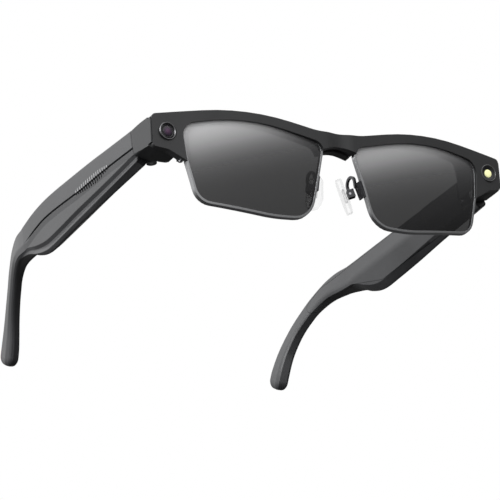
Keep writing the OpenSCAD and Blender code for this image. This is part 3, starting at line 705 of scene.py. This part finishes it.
def make_lens(side):
    """Curved lens: two balls' surfaces inside the rim's outline."""
    bx = LENS_X - LENS_R * math.sin(LENS_WRAP)
    bz = LENS_Z + LENS_R * math.tan(LEAN)
    by = LENS_FRONT + math.sqrt(LENS_R ** 2 - (LENS_X - bx) ** 2 - (bz - LENS_Z) ** 2)
    edge = resampled(arc_outline(LENS_OUTLINE), 144)
    mid = Vector((LENS_X, LENS_Z + 1))
    shrink = [p + (mid - p).normalized() * LENS_INSET for p in edge]

    def ring(scale, depth):
        out = []
        for p in shrink:
            q = mid + (p - mid) * scale
            y = by - math.sqrt((LENS_R - depth) ** 2 - (q.x - bx) ** 2 - (q.y - bz) ** 2)
            out.append(Vector((q.x, y, q.y)))
        return out

    scales = [0.02, 0.15, 0.3, 0.45, 0.6, 0.72, 0.82, 0.9, 0.96, 0.995, 1.0]
    rings = [ring(k, 0.02) for k in scales] + [ring(k, LENS_T) for k in reversed(scales)]
    name = "lens_" + side
    ob = add_object("v_" + name, skin(rings, side == "right"), "lens_tint", BODY_OF[name], [name])
    return bevel(ob, 0, 1)


COVER = cad_copy("front_cover", 0.35, 3)
press_bridge(COVER.data)
cad_copy("rear_shell", 0.25, 2)
cad_copy("bridge_bar", 0.3, 3)
for SIDE in ("right", "left"):
    cad_copy("rim_" + SIDE, 0.25, 3)
    make_lens(SIDE)
    cad_copy("pad_arm_" + SIDE, 0.12, 2)
    cad_copy("pad_" + SIDE, 0.75, 5)
    cad_copy("pad_core_" + SIDE, 0.1, 2)
    cad_copy("front_leaf_" + SIDE, 0.15, 2)
    cad_copy("temple_leaf_" + SIDE, 0.15, 2)
cad_copy("hinge_screws", 0.12, 2)
cad_copy("capture_button", 0.4, 3)
cad_copy("power_button", 0.4, 3)

lathe("v_camera_ring", [(2.62, 1.0), (EYE_R, 1.0), (EYE_R, -0.35), (3.15, -0.6), (2.85, -0.6), (2.62, -0.3)],
      "right", "ring_metal", ["camera_ring"], "ring_dark")
lathe("v_camera_barrel", [(2.6, 2.4), (2.6, -0.15), (2.3, -0.3), (2.05, -0.1), (1.75, 0.15), (1.7, 0.35),
                          (1.35, 0.5), (1.25, 0.9), (0.1, 0.9)], "right", "barrel_black", ["camera_barrel"])
lathe("v_camera_iris", [(0.2, 1.2), (2.0, 1.2), (2.0, -0.08), (1.6, -0.16), (1.2, -0.22), (0.6, -0.28),
                        (0.2, -0.3), (0.02, -0.3)], "right", "barrel_black", (), "iris")
lathe("v_camera_glass", [(0.1, 0.1), (2.55, 0.1), (2.55, -0.2), (2.1, -0.32), (1.2, -0.42), (0.02, -0.46)],
      "right", "camera_window", ["camera_glass"])
lathe("v_lamp_ring", [(2.85, 1.0), (EYE_R, 1.0), (EYE_R, -0.3), (3.2, -0.5), (2.95, -0.5), (2.85, -0.35)],
      "left", "ring_metal", ["lamp_ring"], "ring_dark")
lathe("v_lamp_cone", [(1.5, 1.4), (2.85, 1.4), (2.85, -0.3), (2.6, -0.28), (2.2, -0.14), (1.8, -0.04),
                      (1.5, 0.2)], "left", "barrel_black")
lathe("v_lamp_lens", [(0.1, 1.6), (1.48, 1.6), (1.48, 0.0), (1.35, -0.12), (1.0, -0.2), (0.5, -0.25),
                      (0.02, -0.27)], "left", "lamp_diffuser", ["lamp_lens"])

# Everything else keeps its CAD mesh and only takes its finish
for NAME, OB in NODES.items():
    OB.data.materials.clear()
    OB.data.materials.append(MATS[SLOT_OF[NAME]])

# ---------------------------------------------------------------- stage, light and camera


def make_floor():
    """Plain pale floor, kept out of the light that reaches the glasses."""
    half = FLOOR_SIZE / 2
    me = bpy.data.meshes.new("floor")
    me.from_pydata([(-half, -half, 0), (half, -half, 0), (half, half, 0), (-half, half, 0)], [],
                   [(0, 1, 2, 3)])
    material, _, shader = new_material("pale_floor")
    shader.inputs["Base Color"].default_value = (0.9, 0.9, 0.9, 1)
    shader.inputs["Roughness"].default_value = 0.9
    me.materials.append(material)
    ob = bpy.data.objects.new("floor", me)
    ob.location = (0, 0, FLOOR_Z)
    ob.visible_diffuse = False
    ob.visible_glossy = False
    bpy.context.scene.collection.objects.link(ob)


# In metres: the floor lies well below the glasses, inside the dome
FLOOR_SIZE, FLOOR_Z, DOME_RADIUS = 5.0, -0.62, 4.0
make_floor()

world = bpy.data.worlds.new("studio")
bpy.context.scene.world = world
world.use_nodes = True
wnt = world.node_tree
bg = wnt.nodes["Background"]
bg.inputs["Color"].default_value = (1, 1, 1, 1)
bg.inputs["Strength"].default_value = 1.0
world.cycles_visibility.diffuse = False
world.cycles_visibility.glossy = False


def area(name, location, size, power):
    """Square light aimed at the glasses."""
    light = bpy.data.lights.new(name, "AREA")
    light.energy = power
    light.shape = "RECTANGLE"
    light.size = size
    light.size_y = size
    ob = bpy.data.objects.new(name, light)
    ob.location = location
    aim = Vector((0, 0, 0.02)) - Vector(location)
    ob.rotation_euler = aim.to_track_quat("-Z", "Y").to_euler()
    bpy.context.scene.collection.objects.link(ob)


def studio_dome():
    """Soft light all round: bright above and from the wearer's right, dim below. Never in view."""
    bm = bmesh.new()
    bmesh.ops.create_uvsphere(bm, u_segments=48, v_segments=24, radius=DOME_RADIUS)
    ob = bpy.data.objects.new("studio_dome", to_mesh(bm, "studio_dome"))
    bpy.context.scene.collection.objects.link(ob)
    m = bpy.data.materials.new("studio_dome")
    m.use_nodes = True
    nt = m.node_tree
    nt.nodes.clear()
    out = nt.nodes.new("ShaderNodeOutputMaterial")
    glow = nt.nodes.new("ShaderNodeEmission")
    tc = nt.nodes.new("ShaderNodeTexCoord")
    dot = nt.nodes.new("ShaderNodeVectorMath")
    dot.operation = "DOT_PRODUCT"
    dot.inputs[1].default_value = Vector((-0.42, -0.12, 0.9)).normalized()
    nt.links.new(tc.outputs["Object"], dot.inputs[0])
    level = map_range(nt, dot.outputs["Value"], -DOME_RADIUS, DOME_RADIUS, 0.0, 1.0)
    nt.links.new(ramp(nt, level, [(0.0, (0.03,) * 3), (0.4, (0.07,) * 3), (0.56, (0.3,) * 3),
                                  (0.75, (0.85,) * 3), (1.0, (1.0,) * 3)]), glow.inputs["Color"])
    glow.inputs["Strength"].default_value = DOME_STRENGTH
    nt.links.new(glow.outputs["Emission"], out.inputs["Surface"])
    ob.data.materials.append(m)
    ob.visible_camera = False
    ob.visible_shadow = False


DOME_STRENGTH = 1.5
studio_dome()
area("key_left", (-1.7, -0.2, 0.75), 1.2, 20)
area("low_fill", (-0.3, -1.6, -0.7), 0.9, 3)

# Camera: below and to the wearer's right of the glasses, turned a little on its axis
AZIMUTH, ELEVATION, ROLL = -32.3712, -21.7206, -6.7859
DISTANCE, SIDE_STEP, RISE = 1154.9, -29.52, -34.96
LENS_LENGTH, SENSOR_WIDTH, TILT = 232.2432, 36.0, 1.6
a, e, r = (math.radians(v) for v in (AZIMUTH, ELEVATION, ROLL))
right = Vector((math.cos(a), math.sin(a), 0))
back = Vector((math.sin(a) * math.cos(e), -math.cos(a) * math.cos(e), math.sin(e)))
up = back.cross(right)
R = right * math.cos(r) + up * math.sin(r)
U = up * math.cos(r) - right * math.sin(r)
eye = R * SIDE_STEP + U * RISE + back * DISTANCE
tilt = Matrix.Rotation(math.radians(TILT), 3, "X")
R, U, back, eye = (tilt @ v for v in (R, U, back, eye))
cam_data = bpy.data.cameras.new("camera")
cam_data.sensor_width = SENSOR_WIDTH
cam_data.lens = LENS_LENGTH
cam_data.clip_start, cam_data.clip_end = 0.05, 30
cam = bpy.data.objects.new("camera", cam_data)
bpy.context.scene.collection.objects.link(cam)
rot = Matrix((R, U, back)).transposed().to_4x4()
cam.matrix_world = Matrix.Translation(place(*eye)) @ rot
bpy.context.scene.camera = cam
bpy.context.scene.view_settings.view_transform = "Standard"
